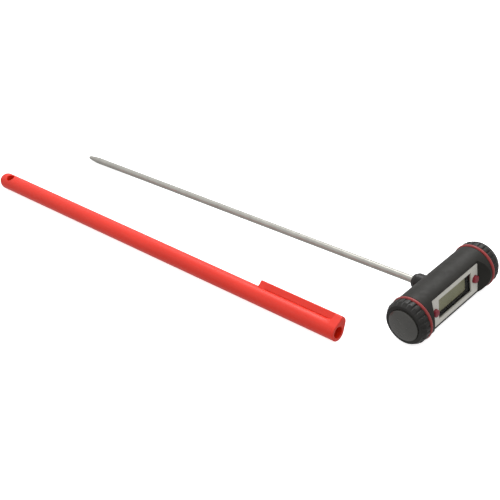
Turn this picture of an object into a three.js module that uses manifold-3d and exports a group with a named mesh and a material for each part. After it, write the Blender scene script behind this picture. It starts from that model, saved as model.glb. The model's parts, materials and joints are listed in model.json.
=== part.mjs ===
// Digital stem thermometer with a T-bar handle, and the protective sheath that its stem slides into.
// Millimetres, +Z up. The thermometer lies on its two sealing rings and the end of its stem, with
// the display facing +X, the bar along Y and the stem along -X. The sheath lies beside it.
// "Left" and "right" are as seen by someone reading the display: left is -Y, right is +Y.

import * as THREE from 'three';
import { mergeVertices } from 'three/addons/utils/BufferGeometryUtils.js';
import Module from 'manifold-3d';

const wasm = await Module();
wasm.setup();

// ---- Driving dimensions -------------------------------------------------------------------------

// Bar-shaped housing: radii from the bar's axis, lengths from the bar's middle.
const BAR_RADIUS = 11.7;
const BAR_HALF_LENGTH = 25.9;
const BAR_EDGE = 0.3;
const SPIGOT_RADIUS = 8.8;
const SPIGOT_END = 31;
const BAY_RADIUS = 6.2;
const BATTERY_BAY_FLOOR = 22.3;
const BLIND_BAY_FLOOR = 28.2;
const CHAMBER_HALF_LENGTH = 19.5;
const CHAMBER_HALF_HEIGHT = 7.2;
const BACK_CHAMBER_X = -8;
const BACK_CHAMBER_HALF_LENGTH = 14.5;
const BACK_CHAMBER_HALF_HEIGHT = 6;
const CONTACT_SLOT_HALF_HEIGHT = 1.8;
const SPRING_HOLE_X = -3.5;
const STEM_HOLE_START = 7.5;
const COLLAR_SEAT_FLOOR = 9.85;

// Flat on the bar that carries the display, and its sloped run-outs.
const FLAT_X = 6.65;
const FLAT_HALF_LENGTH = 19.62;
const RUN_OUT_SLOPE = 0.9;

// Display plate, window and buttons.
const PLATE_FRONT = 6.8;
const PLATE_THICKNESS = 0.8;
const PLATE_HALF_LENGTH = 19.5;
const PLATE_HALF_HEIGHT = 8.3;
const WINDOW_HALF_LENGTH = 13.9;
const WINDOW_HALF_HEIGHT = 5.75;
const WINDOW_LENS_HALF_LENGTH = 14.3;
const WINDOW_LENS_HALF_HEIGHT = 6.95;
const LCD_FRONT = 4.02;
const LCD_BACK = 2.3;
const LCD_HALF_LENGTH = 13.25;
const LCD_HALF_HEIGHT = 6.25;
const LCD_FRAME_WALL = 0.55;
const BUTTON_Y = 17.1;
const BUTTON_RADIUS = 2.05;
const BUTTON_FLANGE_RADIUS = 2.3;
const BUTTON_PROUD = 1.6;

// Circuit board, on a ledge inside the housing.
const BOARD_BACK = -0.2;
const BOARD_THICKNESS = 1;
const BOARD_HALF_LENGTH = 19.2;
const BOARD_HALF_HEIGHT = 6.9;
const BOARD_SCREW_Y = 16.6;
const BOARD_SCREW_Z = 5;

// End caps and their sealing rings.
const RING_PLANE = 26.83;
const RING_SECTION = 0.85;
const RING_OUTER = 12.2;
const CAP_START = 27.75;
const CAP_END = 33.48;
const CAP_RADIUS = 11.85;
const CAP_FACE_RADIUS = 10.47;
const CAP_HUB_RADIUS = 10.4;
const CAP_BORE_RADIUS = 9.1;
const KNURL_COUNT = 24;
const KNURL_NOTCH_RADIUS = 0.9;
const KNURL_NOTCH_CENTRE = 12.15;
const DISC_RADIUS = 8.45;
const DISC_BACK = 32.6;
const DISC_EDGE = 33.95;
const DISC_CROWN = 34.75;

// Stem: distances from the bar's axis along -X.
const STEM_RADIUS = 1.9;
const STEM_BORE_RADIUS = 1.6;
const STEM_START = 6;
const STEM_TIP = 271.7;
const TAPER_LENGTH = 8.5;
const TIP_RADIUS = 1.1;
const COLLAR_RADIUS = 4.5;
const COLLAR_BACK = 10.95;
const COLLAR_FRONT = 17.7;
const COLLAR_SHANK_RADIUS = 3.15;
const LEAD_RADIUS = 0.25;
const LEAD_OFFSET = 0.6;
const BEAD_AT = 265.6;

// Coin cell and its contacts.
const CELL_RADIUS = 5.8;
const CELL_HEIGHT = 5.4;
const CELL_START = 24.7;

// Sheath: distances from its open end along its own axis, radii and heights from that axis.
const SHEATH_LENGTH = 264.8;
const SHEATH_RADIUS = 4.8;
const SHEATH_BORE_RADIUS = 2.75;
const SHEATH_BORE_DEPTH = 255;
const SHEATH_DOME = 5.1;
const SHEATH_HOLE_RADIUS = 2.4;
const SHEATH_HOLE_AT = 254.9;
const SHEATH_HOLE_ROLL = THREE.MathUtils.degToRad(12);

// Pocket clip: distances from the sheath's open end, heights from its axis, and how far the clip is
// rolled over from the top of the sheath.
const CLIP_ROLL = 45;
const CLIP_HALF_WIDTH = 1.8;
const CLIP_UNDERSIDE = 5.1;
const CLIP_TOP = 8.3;
const CLIP_CORNER = 0.4;
const CLIP_ROOT = 4.6;
const CLIP_LENGTH = 53.5;
const CLIP_FOOT_BOTTOM = 4.9;
const CLIP_FOOT_HALF_WIDTH = 2.3;
const CLIP_FOOT_LENGTH = 4.8;
const SHOULDER_FILLET = 1.7;

// Where the sheath's open end lies from the bar's middle, and how far it is turned.
const SHEATH_X = -27.85;
const SHEATH_Y = -49.19;
const SHEATH_YAW = THREE.MathUtils.degToRad(0.76);

// Clearances between pieces.
const FIT_GAP = 0.1;
const LOOSE_GAP = 0.15;

// Facets around round pieces.
const FINE = 60;
const MEDIUM = 32;
const COARSE = 16;

// The thermometer leans down from its sealing rings to where the stem starts to taper.
const LEAN = Math.asin((RING_OUTER - STEM_RADIUS) / (STEM_TIP - TAPER_LENGTH));

// ---- Finishes -----------------------------------------------------------------------------------

function finish(color, roughness, metalness) {
  return { color, roughness, metalness };
}

const BLACK_PLASTIC = finish(0x3f3d3a, 0.5, 0);
const CAP_PLASTIC = finish(0x35342f, 0.55, 0);
const DISC_PLASTIC = finish(0x5c5954, 0.3, 0);
const SILVER_PLATE = finish(0xaaa89e, 0.45, 0.4);
const CLEAR_LENS = finish(0xdfe6e2, 0.05, 0);
const LCD_GLASS = finish(0x6e7058, 0.25, 0);
const DARK_PLASTIC = finish(0x1d1c19, 0.6, 0);
const RED_RUBBER = finish(0xb22a38, 0.5, 0);
const RED_PLASTIC = finish(0xe23c30, 0.25, 0);
const GREY_RUBBER = finish(0x55585a, 0.8, 0);
const GREEN_BOARD = finish(0x1f5a34, 0.5, 0);
const STEEL = finish(0xc9c8c4, 0.2, 1);
const SPRING_STEEL = finish(0xb9b9b6, 0.3, 1);
const BRASS = finish(0xb7975a, 0.35, 1);
const EPOXY = finish(0x26241f, 0.4, 0);
const GLASS_BEAD = finish(0x6b4a24, 0.3, 0);
const LEAD_INSULATION = finish(0xe8e4d8, 0.6, 0);

// ---- Solids -------------------------------------------------------------------------------------

// Makes a solid from a closed geometry, facing out.
function solid(geometry) {
  const bare = geometry.index ? geometry.toNonIndexed() : geometry.clone();
  bare.deleteAttribute('normal');
  bare.deleteAttribute('uv');
  const merged = mergeVertices(bare, 1e-4);
  const indices = merged.index.array;
  const triangles = [];
  for (let i = 0; i < indices.length; i += 3) {
    const [a, b, c] = [indices[i], indices[i + 1], indices[i + 2]];
    if (a !== b && b !== c && c !== a) triangles.push(a, b, c);
  }
  const vertProperties = new Float32Array(merged.attributes.position.array);
  const build = (triVerts) => new wasm.Manifold(new wasm.Mesh({ numProp: 3, vertProperties, triVerts }));
  const body = build(new Uint32Array(triangles));
  if (body.volume() > 0) return body;
  for (let i = 0; i < triangles.length; i += 3) {
    [triangles[i + 1], triangles[i + 2]] = [triangles[i + 2], triangles[i + 1]];
  }
  return build(new Uint32Array(triangles));
}

// Removes each of the other solids from the first.
function cut(body, ...tools) {
  return tools.reduce((rest, tool) => rest.subtract(tool), body);
}

function block(x, y, z) {
  const geometry = new THREE.BoxGeometry(x[1] - x[0], y[1] - y[0], z[1] - z[0]);
  geometry.translate((x[0] + x[1]) / 2, (y[0] + y[1]) / 2, (z[0] + z[1]) / 2);
  return solid(geometry);
}

// Turns a profile of [radius, distance] points about an axis: 'bar' runs along +Y, 'stem' runs
// along -X and 'button' along +X.
function turned(axis, profile, segments, offset = [0, 0, 0]) {
  const points = profile.map(([radius, along]) => new THREE.Vector2(radius, along));
  const geometry = new THREE.LatheGeometry(points, segments);
  if (axis === 'stem') geometry.rotateZ(Math.PI / 2);
  if (axis === 'button') geometry.rotateZ(-Math.PI / 2);
  geometry.translate(...offset);
  return solid(geometry);
}

function rod(axis, radius, from, to, segments, offset) {
  return turned(axis, [[0, from], [radius, from], [radius, to], [0, to]], segments, offset);
}

function ring(axis, centreRadius, sectionRadius, along, around, across) {
  const geometry = new THREE.TorusGeometry(centreRadius, sectionRadius, across, around);
  if (axis === 'bar') geometry.rotateX(Math.PI / 2).translate(0, along, 0);
  if (axis === 'stem') geometry.rotateY(Math.PI / 2).translate(-along, 0, 0);
  return solid(geometry);
}

// A rectangle with round corners, centred, as a shape or as a hole.
function roundedRectangle(halfWidth, halfHeight, corner, PathType = THREE.Shape) {
  const path = new PathType();
  const quarter = Math.PI / 2;
  const [w, h] = [halfWidth - corner, halfHeight - corner];
  path.absarc(w, h, corner, 0, quarter, false);
  path.absarc(-w, h, corner, quarter, 2 * quarter, false);
  path.absarc(-w, -h, corner, 2 * quarter, 3 * quarter, false);
  path.absarc(w, -h, corner, 3 * quarter, 4 * quarter, false);
  path.closePath();
  return path;
}

function extruded(shape, depth, curveSegments = 3) {
  return new THREE.ExtrudeGeometry(shape, { depth, bevelEnabled: false, curveSegments });
}

// Extrudes a shape drawn in Y and Z from x[0] to x[1].
function panel(shape, x, curveSegments) {
  const turn = new THREE.Matrix4().makeBasis(
    new THREE.Vector3(0, 1, 0),
    new THREE.Vector3(0, 0, 1),
    new THREE.Vector3(1, 0, 0),
  );
  return solid(extruded(shape, x[1] - x[0], curveSegments).applyMatrix4(turn).translate(x[0], 0, 0));
}

// Extrudes a shape drawn in X and Y through z[0] to z[1].
function slab(shape, z) {
  return solid(extruded(shape, z[1] - z[0]).translate(0, 0, z[0]));
}

// Extrudes a shape drawn in X and Z through a width centred on Y.
function sideProfile(shape, halfWidth) {
  const geometry = extruded(shape, 2 * halfWidth);
  return solid(geometry.rotateX(Math.PI / 2).translate(0, halfWidth, 0));
}

function outline(points) {
  return new THREE.Shape(points.map(([x, y]) => new THREE.Vector2(x, y)));
}

// Points on a quarter ellipse from (radius, start) to (0, start + length), for a domed end.
function dome(radius, start, length, steps) {
  const points = [];
  for (let i = 0; i <= steps; i += 1) {
    const angle = (i / steps) * (Math.PI / 2);
    const across = i === steps ? 0 : radius * Math.cos(angle);
    points.push([across, start + length * Math.sin(angle)]);
  }
  return points;
}

// A wire along a curve.
function wire(curve, radius, steps, sides) {
  const section = new THREE.Shape();
  section.absarc(0, 0, radius, 0, 2 * Math.PI, false);
  const options = { steps, bevelEnabled: false, extrudePath: curve, curveSegments: sides / 2 };
  return solid(new THREE.ExtrudeGeometry(section, options));
}

// ---- Housing ------------------------------------------------------------------------------------

function makeHousing() {
  const half = [
    [SPIGOT_RADIUS, SPIGOT_END],
    [SPIGOT_RADIUS, BAR_HALF_LENGTH],
    [BAR_RADIUS - BAR_EDGE, BAR_HALF_LENGTH],
    [BAR_RADIUS, BAR_HALF_LENGTH - BAR_EDGE],
  ];
  const mirrored = half.map(([radius, along]) => [radius, -along]);
  const profile = [[0, -SPIGOT_END], ...mirrored, ...half.toReversed(), [0, SPIGOT_END]];
  const body = turned('bar', profile, FINE);

  const clear = BAR_RADIUS + 1;
  const runOut = FLAT_HALF_LENGTH + (clear - FLAT_X) * RUN_OUT_SLOPE;
  const flat = slab(
    outline([[FLAT_X, -FLAT_HALF_LENGTH], [clear, -runOut], [clear, runOut], [FLAT_X, FLAT_HALF_LENGTH]]),
    [-clear, clear],
  );
  const platePocket = panel(
    roundedRectangle(PLATE_HALF_LENGTH + FIT_GAP, PLATE_HALF_HEIGHT + LOOSE_GAP, 0.9),
    [PLATE_FRONT - PLATE_THICKNESS - FIT_GAP, clear],
  );
  const chamber = block(
    [BOARD_BACK - FIT_GAP, clear],
    [-CHAMBER_HALF_LENGTH, CHAMBER_HALF_LENGTH],
    [-CHAMBER_HALF_HEIGHT, CHAMBER_HALF_HEIGHT],
  );
  const backChamber = block(
    [BACK_CHAMBER_X, BOARD_BACK],
    [-BACK_CHAMBER_HALF_LENGTH, BACK_CHAMBER_HALF_LENGTH],
    [-BACK_CHAMBER_HALF_HEIGHT, BACK_CHAMBER_HALF_HEIGHT],
  );
  const batteryBay = rod('bar', BAY_RADIUS, -SPIGOT_END - 1, -BATTERY_BAY_FLOOR, MEDIUM);
  const blindBay = rod('bar', BAY_RADIUS, BLIND_BAY_FLOOR, SPIGOT_END + 1, MEDIUM);
  const slotEnd = 0.2 - BACK_CHAMBER_HALF_LENGTH;
  const contactSlot = block(
    [-6.8, -5.7],
    [-SPIGOT_END - 1, slotEnd],
    [-CONTACT_SLOT_HALF_HEIGHT, CONTACT_SLOT_HALF_HEIGHT],
  );
  const springHole = rod('bar', 0.7, -BATTERY_BAY_FLOOR - 0.3, slotEnd, COARSE, [SPRING_HOLE_X, 0, 0]);
  const stemHole = rod('stem', COLLAR_SHANK_RADIUS + LOOSE_GAP, STEM_HOLE_START, clear, MEDIUM);
  const collarSeat = rod('stem', COLLAR_RADIUS + LOOSE_GAP, COLLAR_SEAT_FLOOR, clear, MEDIUM);
  const screwHoles = [1, -1].map((side) => (
    rod('button', 0.8, -4.5, BOARD_BACK, COARSE, [0, side * BOARD_SCREW_Y, -side * BOARD_SCREW_Z])
  ));
  return cut(
    body, flat, platePocket, chamber, backChamber, batteryBay, blindBay, contactSlot, springHole,
    stemHole, collarSeat, ...screwHoles,
  );
}

// ---- Display and buttons ------------------------------------------------------------------------

function makeDisplayPlate() {
  const shape = roundedRectangle(PLATE_HALF_LENGTH, PLATE_HALF_HEIGHT, 0.8);
  shape.holes.push(roundedRectangle(WINDOW_HALF_LENGTH, WINDOW_HALF_HEIGHT, 0.3, THREE.Path));
  for (const side of [-1, 1]) {
    const hole = new THREE.Path();
    hole.absarc(side * BUTTON_Y, 0, BUTTON_RADIUS + FIT_GAP, 0, 2 * Math.PI, true);
    shape.holes.push(hole);
  }
  return panel(shape, [PLATE_FRONT - PLATE_THICKNESS, PLATE_FRONT], 8);
}

function makeWindowLens() {
  return panel(roundedRectangle(WINDOW_LENS_HALF_LENGTH, WINDOW_LENS_HALF_HEIGHT, 0.5), [4.9, 5.85]);
}

// The frame clips the display glass onto the board and shows it through its own window.
function makeLcdFrame() {
  const [length, height] = [LCD_HALF_LENGTH + LOOSE_GAP, LCD_HALF_HEIGHT + LOOSE_GAP];
  const [y, z] = [length + LCD_FRAME_WALL, height + LCD_FRAME_WALL];
  const body = block([0.9, 4.8], [-y, y], [-z, z]);
  const pocket = block([0.5, LCD_FRONT + FIT_GAP], [-length, length], [-height, height]);
  const opening = block([3, 5], [0.5 - length, length - 0.5], [-WINDOW_HALF_HEIGHT, WINDOW_HALF_HEIGHT]);
  return cut(body, pocket, opening);
}

function makeLcdGlass() {
  return block(
    [LCD_BACK, LCD_FRONT],
    [-LCD_HALF_LENGTH, LCD_HALF_LENGTH],
    [-LCD_HALF_HEIGHT, LCD_HALF_HEIGHT],
  );
}

function makeZebraStrip(side) {
  const z = side > 0 ? [4.4, 6] : [-6, -4.4];
  return block([BOARD_BACK + BOARD_THICKNESS + FIT_GAP, LCD_BACK - FIT_GAP], [-12.4, 12.4], z);
}

function makeBoard() {
  const board = panel(
    roundedRectangle(BOARD_HALF_LENGTH, BOARD_HALF_HEIGHT, 0.6),
    [BOARD_BACK, BOARD_BACK + BOARD_THICKNESS],
  );
  const holes = [1, -1].map((side) => (
    rod('button', 0.85, -1, 2, COARSE, [0, side * BOARD_SCREW_Y, -side * BOARD_SCREW_Z])
  ));
  return cut(board, ...holes);
}

function makeController() {
  const base = BOARD_BACK + BOARD_THICKNESS + FIT_GAP;
  return turned('button', [[0, base], ...dome(3.2, base, 1, 5)], COARSE);
}

function makeTactSwitch(side) {
  const base = BOARD_BACK + BOARD_THICKNESS + FIT_GAP;
  const y = side * BUTTON_Y;
  const body = block([base, 1.9], [y - 1.75, y + 1.75], [-1.75, 1.75]);
  return body.add(rod('button', 0.8, 1.5, 2.2, COARSE, [0, y, 0]));
}

function makeBoardScrew(side) {
  const top = BOARD_BACK + BOARD_THICKNESS + FIT_GAP;
  const at = [0, side * BOARD_SCREW_Y, -side * BOARD_SCREW_Z];
  const profile = [
    [0, -3.8], [0.45, -3.8], [0.7, -3.3], [0.7, top], [1.3, top], [1.3, top + 0.4], [0.9, top + 0.8],
    [0, top + 0.8],
  ];
  const slotY = [at[1] - 0.15, at[1] + 0.15];
  const slotZ = [at[2] - 0.8, at[2] + 0.8];
  const armY = [at[1] - 0.8, at[1] + 0.8];
  const armZ = [at[2] - 0.15, at[2] + 0.15];
  const depth = [top + 0.35, top + 2];
  return cut(turned('button', profile, COARSE, at), block(depth, slotY, slotZ), block(depth, armY, armZ));
}

function makeButton(side) {
  const top = PLATE_FRONT + BUTTON_PROUD;
  const profile = [
    [0, 3], [1.2, 3], [1.2, 4.9], [BUTTON_FLANGE_RADIUS, 4.9], [BUTTON_FLANGE_RADIUS, 5.7],
    [BUTTON_RADIUS, 5.7], ...dome(BUTTON_RADIUS, top - 0.7, 0.7, 5),
  ];
  return turned('button', profile, MEDIUM, [0, side * BUTTON_Y, 0]);
}

// ---- Battery and contacts -----------------------------------------------------------------------

function makeCoinCell() {
  const end = CELL_START + CELL_HEIGHT;
  const profile = [
    [0, -end], [CELL_RADIUS - 0.3, -end], [CELL_RADIUS, 0.3 - end], [CELL_RADIUS, -CELL_START - 0.9],
    [CELL_RADIUS - 0.5, -CELL_START - 0.5], [4.7, -CELL_START - 0.5], [4.5, -CELL_START],
    [0, -CELL_START],
  ];
  return turned('bar', profile, MEDIUM);
}

// A conical coil presses on the cell, and its tail runs through the bay floor to the board.
function makeBatterySpring() {
  const turns = 2.5;
  const steps = 30;
  const [topRadius, baseRadius] = [1.8, 3.5];
  const [top, base] = [-CELL_START + 0.4, -BATTERY_BAY_FLOOR - 0.4];
  const points = [];
  for (let i = 0; i <= steps; i += 1) {
    const t = i / steps;
    const angle = Math.PI - 2 * Math.PI * turns * (1 - t);
    const radius = topRadius + (baseRadius - topRadius) * t;
    const rise = top + (base - top) * t;
    points.push(new THREE.Vector3(radius * Math.cos(angle), rise, radius * Math.sin(angle)));
  }
  const tail = [
    [SPRING_HOLE_X, -21.6], [SPRING_HOLE_X, -19], [SPRING_HOLE_X, -16.5], [SPRING_HOLE_X, -14.2],
    [-3, -13.4], [-2, -13.2], [-0.4, -13.2],
  ];
  for (const [x, y] of tail) points.push(new THREE.Vector3(x, y, 0));
  return wire(new THREE.CatmullRomCurve3(points), 0.25, 64, 6);
}

function makeBatteryStrip() {
  const shape = outline([
    [-6.45, -30.2], [-6.05, -30.2], [-6.05, -12.8], [-0.4, -12.8], [-0.4, -12.4], [-6.45, -12.4],
  ]);
  return slab(shape, [-1.5, 1.5]);
}

// ---- End caps -----------------------------------------------------------------------------------

function knurlOutline() {
  const shape = new THREE.Shape();
  const reach = KNURL_NOTCH_CENTRE;
  const r = KNURL_NOTCH_RADIUS;
  const edgeX = (CAP_RADIUS ** 2 + reach ** 2 - r ** 2) / (2 * reach);
  const edgeY = Math.sqrt(CAP_RADIUS ** 2 - edgeX ** 2);
  const halfNotch = Math.atan2(edgeY, edgeX);
  const notchTurn = Math.atan2(edgeY, reach - edgeX);
  const pitch = (2 * Math.PI) / KNURL_COUNT;
  for (let i = 0; i < KNURL_COUNT; i += 1) {
    const centre = (i + 0.5) * pitch;
    const [x, y] = [reach * Math.cos(centre), reach * Math.sin(centre)];
    const inward = centre + Math.PI;
    shape.absarc(0, 0, CAP_RADIUS, centre - pitch + halfNotch, centre - halfNotch, false);
    shape.absarc(x, y, r, inward + notchTurn, inward - notchTurn, true);
  }
  shape.closePath();
  return shape;
}

function makeKnurledCap() {
  const prism = extruded(knurlOutline(), CAP_END - CAP_START, 1);
  const knurl = solid(prism.rotateX(-Math.PI / 2).translate(0, CAP_START, 0));
  const envelope = turned('bar', [
    [0, CAP_START], [CAP_RADIUS - 0.35, CAP_START], [CAP_RADIUS + 0.05, CAP_START + 0.4],
    [CAP_RADIUS + 0.05, 30.9], [CAP_FACE_RADIUS, CAP_END - 0.25], [CAP_FACE_RADIUS - 0.25, CAP_END],
    [0, CAP_END],
  ], FINE);
  const hub = rod('bar', CAP_HUB_RADIUS, 26.1, CAP_START + 1, FINE);
  const bore = rod('bar', CAP_BORE_RADIUS, 25, 31.4, FINE);
  const discSeat = rod('bar', DISC_RADIUS + FIT_GAP, DISC_BACK - FIT_GAP, CAP_END + 1, FINE);
  return cut(knurl.intersect(envelope).add(hub), bore, discSeat);
}

function makeCapDisc() {
  const crown = dome(DISC_RADIUS, DISC_EDGE, DISC_CROWN - DISC_EDGE, 5);
  return turned('bar', [[0, DISC_BACK], [DISC_RADIUS, DISC_BACK], ...crown], FINE);
}

function makeSealingRing() {
  return ring('bar', RING_OUTER - RING_SECTION, RING_SECTION, RING_PLANE, FINE, 8);
}

// ---- Stem ---------------------------------------------------------------------------------------

function makeStemTube() {
  const taper = STEM_TIP - TAPER_LENGTH;
  const outside = turned('stem', [
    [0, STEM_START], [STEM_RADIUS, STEM_START], [STEM_RADIUS, taper],
    ...dome(TIP_RADIUS, STEM_TIP - TIP_RADIUS, TIP_RADIUS, 4),
  ], MEDIUM);
  const inside = turned('stem', [
    [0, STEM_START - 1], [STEM_BORE_RADIUS, STEM_START - 1], [STEM_BORE_RADIUS, taper - 0.5],
    [TIP_RADIUS - 0.35, STEM_TIP - 2], [0, STEM_TIP - 1.6],
  ], COARSE);
  return cut(outside, inside);
}

function makeStemCollar() {
  const body = turned('stem', [
    [0, 7.3], [COLLAR_SHANK_RADIUS, 7.3], [COLLAR_SHANK_RADIUS, COLLAR_BACK], [COLLAR_RADIUS, COLLAR_BACK],
    [COLLAR_RADIUS, 15.6], [COLLAR_RADIUS - 1, COLLAR_FRONT], [0, COLLAR_FRONT],
  ], MEDIUM);
  return cut(body, rod('stem', STEM_RADIUS + 0.05, 5, COLLAR_FRONT + 1, MEDIUM));
}

// Hexagonal nut that clamps the collar from inside the housing.
function makeCollarNut() {
  const nut = rod('stem', 4.9, 6.4, 7.2, 6);
  return cut(nut, rod('stem', 2.3, 5, 9, COARSE));
}

function makeCollarSeal() {
  return ring('stem', 3.75, 0.48, 10.4, COARSE + 8, 6);
}

function makeLead(side, radius = LEAD_RADIUS, end = 0.9 - BEAD_AT) {
  const z = side * LEAD_OFFSET;
  const route = new THREE.LineCurve3(
    new THREE.Vector3(BOARD_BACK - FIT_GAP, 0, z),
    new THREE.Vector3(end, 0, z),
  );
  return wire(route, radius, 1, 8);
}

function makeThermistorBead(radius = 0.65) {
  const geometry = new THREE.SphereGeometry(radius, 16, 10).rotateZ(Math.PI / 2).scale(1.15, 1, 1);
  return solid(geometry.translate(-BEAD_AT, 0, 0));
}

// Resin that holds the bead in the end of the tube, with the leads running out of its back.
function makeTipPotting() {
  const body = turned('stem', [
    [0, 257], [1.45, 257], [1.45, 262.5], [0.95, 266.8], [0, 267.2],
  ], COARSE);
  const leads = [1, -1].map((side) => makeLead(side, LEAD_RADIUS + FIT_GAP, -BEAD_AT));
  return cut(body, makeThermistorBead(0.75), ...leads);
}

// ---- Sheath -------------------------------------------------------------------------------------

// Turns a solid about the sheath's axis, from the top of the sheath to where the clip is.
function rolled(body) {
  return body.rotate([-CLIP_ROLL, 0, 0]);
}

// Block at the open end that the pocket clip grows from, blended into the tube's sides.
function makeClipShoulder() {
  const reach = Math.hypot(CLIP_HALF_WIDTH, CLIP_TOP);
  const tangent = Math.atan2(CLIP_HALF_WIDTH, CLIP_TOP) + Math.acos(SHEATH_RADIUS / reach);
  const inset = 0.99 * SHEATH_RADIUS;
  const side = [inset * Math.sin(tangent), inset * Math.cos(tangent)];
  const section = outline([
    [-CLIP_HALF_WIDTH, CLIP_TOP], [-side[0], side[1]], [-3, -1], [3, -1], [side[0], side[1]],
    [CLIP_HALF_WIDTH, CLIP_TOP],
  ]);
  const profile = new THREE.Shape();
  profile.moveTo(-CLIP_ROOT, -2);
  profile.lineTo(-0.4, -2);
  profile.lineTo(-0.1, CLIP_TOP - SHOULDER_FILLET - 0.5);
  profile.absarc(-0.1 - SHOULDER_FILLET, CLIP_TOP - SHOULDER_FILLET, SHOULDER_FILLET, 0, Math.PI / 2, false);
  profile.lineTo(-CLIP_ROOT, CLIP_TOP);
  return rolled(panel(section, [-CLIP_ROOT, 0]).intersect(sideProfile(profile, SHEATH_RADIUS + 1)));
}

function makeSheathTube() {
  const tube = turned('stem', [
    [0, 0], [SHEATH_RADIUS - 0.25, 0], [SHEATH_RADIUS, 0.25],
    ...dome(SHEATH_RADIUS, SHEATH_LENGTH - SHEATH_DOME, SHEATH_DOME, 8),
  ], MEDIUM);
  const bore = turned('stem', [
    [0, -1], [SHEATH_BORE_RADIUS + 1, -1], [SHEATH_BORE_RADIUS + 0.4, 0], [SHEATH_BORE_RADIUS, 0.6],
    [SHEATH_BORE_RADIUS, SHEATH_BORE_DEPTH], [0, SHEATH_BORE_DEPTH + 0.8],
  ], MEDIUM);
  const holeGeometry = new THREE.CylinderGeometry(SHEATH_HOLE_RADIUS, SHEATH_HOLE_RADIUS, 20, 28);
  holeGeometry.rotateX(Math.PI / 2 + SHEATH_HOLE_ROLL).translate(-SHEATH_HOLE_AT, 0, 0);
  return cut(tube.add(makeClipShoulder()), bore, solid(holeGeometry));
}

// The arm's underside follows the tube, and its free end has a foot that nearly touches the tube.
function makePocketClip() {
  const root = CLIP_ROOT + LOOSE_GAP;
  const [w, top, c] = [CLIP_HALF_WIDTH, CLIP_TOP, CLIP_CORNER];
  const hollow = Math.acos(w / CLIP_UNDERSIDE);
  const section = new THREE.Shape();
  section.absarc(0, 0, CLIP_UNDERSIDE, Math.PI - hollow, hollow, true);
  section.absarc(w - c, top - c, c, 0, Math.PI / 2, false);
  section.absarc(c - w, top - c, c, Math.PI / 2, Math.PI, false);
  section.closePath();
  const nose = 0.5;
  const profile = new THREE.Shape();
  profile.moveTo(-root, 0);
  profile.lineTo(-root, top);
  profile.absarc(nose - CLIP_LENGTH, top - nose, nose, Math.PI / 2, Math.PI, false);
  profile.lineTo(-CLIP_LENGTH, 0);
  profile.closePath();
  const arm = panel(section, [-CLIP_LENGTH, -root]).intersect(sideProfile(profile, w + 1));
  return rolled(arm.add(makeClipFoot()));
}

function makeClipFoot() {
  const [w, low] = [CLIP_FOOT_HALF_WIDTH, CLIP_FOOT_BOTTOM];
  const [start, end, ramp, toe, high] = [CLIP_FOOT_LENGTH - CLIP_LENGTH, -CLIP_LENGTH, 1.5, 0.45, 6.4];
  const section = outline([[-w, low], [w, low], [CLIP_HALF_WIDTH, high], [-CLIP_HALF_WIDTH, high]]);
  const profile = outline([
    [end, high], [end, low + toe], [end + toe, low], [start - ramp, low], [start, CLIP_UNDERSIDE + 0.1],
    [start, high],
  ]);
  return panel(section, [end, start]).intersect(sideProfile(profile, w + 1));
}

// ---- Assembly -----------------------------------------------------------------------------------

// Adds a solid to a group as a named mesh.
function place(parent, name, body, look) {
  const mesh = body.getMesh();
  const geometry = new THREE.BufferGeometry();
  geometry.setAttribute('position', new THREE.BufferAttribute(new Float32Array(mesh.vertProperties), 3));
  geometry.setIndex(new THREE.BufferAttribute(new Uint32Array(mesh.triVerts), 1));
  geometry.computeVertexNormals();
  const part = new THREE.Mesh(geometry, new THREE.MeshStandardMaterial(look));
  part.name = name;
  parent.add(part);
  return part;
}

function assembleEndCap(side) {
  const end = new THREE.Group();
  if (side === 'left') end.rotation.x = Math.PI;
  place(end, `sealing_ring_${side}`, makeSealingRing(), RED_RUBBER);
  place(end, `knurled_cap_${side}`, makeKnurledCap(), CAP_PLASTIC);
  place(end, `cap_disc_${side}`, makeCapDisc(), DISC_PLASTIC);
  return end;
}

function assembleThermometer() {
  const body = new THREE.Group();
  place(body, 'bar_housing', makeHousing(), BLACK_PLASTIC);
  place(body, 'display_plate', makeDisplayPlate(), SILVER_PLATE);
  place(body, 'window_lens', makeWindowLens(), CLEAR_LENS);
  place(body, 'lcd_frame', makeLcdFrame(), DARK_PLASTIC);
  place(body, 'lcd_glass', makeLcdGlass(), LCD_GLASS);
  place(body, 'zebra_strip_upper', makeZebraStrip(1), GREY_RUBBER);
  place(body, 'zebra_strip_lower', makeZebraStrip(-1), GREY_RUBBER);
  place(body, 'circuit_board', makeBoard(), GREEN_BOARD);
  place(body, 'controller_blob', makeController(), EPOXY);
  for (const [name, side] of [['left', -1], ['right', 1]]) {
    place(body, `tact_switch_${name}`, makeTactSwitch(side), DARK_PLASTIC);
    place(body, `board_screw_${name}`, makeBoardScrew(side), SPRING_STEEL);
    place(body, `button_${name}`, makeButton(side), RED_RUBBER);
    body.add(assembleEndCap(name));
  }
  place(body, 'coin_cell', makeCoinCell(), STEEL);
  place(body, 'battery_spring', makeBatterySpring(), SPRING_STEEL);
  place(body, 'battery_strip', makeBatteryStrip(), BRASS);
  place(body, 'stem_tube', makeStemTube(), STEEL);
  place(body, 'stem_collar', makeStemCollar(), CAP_PLASTIC);
  place(body, 'collar_nut', makeCollarNut(), BRASS);
  place(body, 'collar_seal', makeCollarSeal(), GREY_RUBBER);
  place(body, 'thermistor_bead', makeThermistorBead(), GLASS_BEAD);
  place(body, 'thermistor_lead_upper', makeLead(1), LEAD_INSULATION);
  place(body, 'thermistor_lead_lower', makeLead(-1), LEAD_INSULATION);
  place(body, 'tip_potting', makeTipPotting(), EPOXY);
  body.rotation.y = -LEAN;
  body.position.z = RING_OUTER;
  return body;
}

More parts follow.
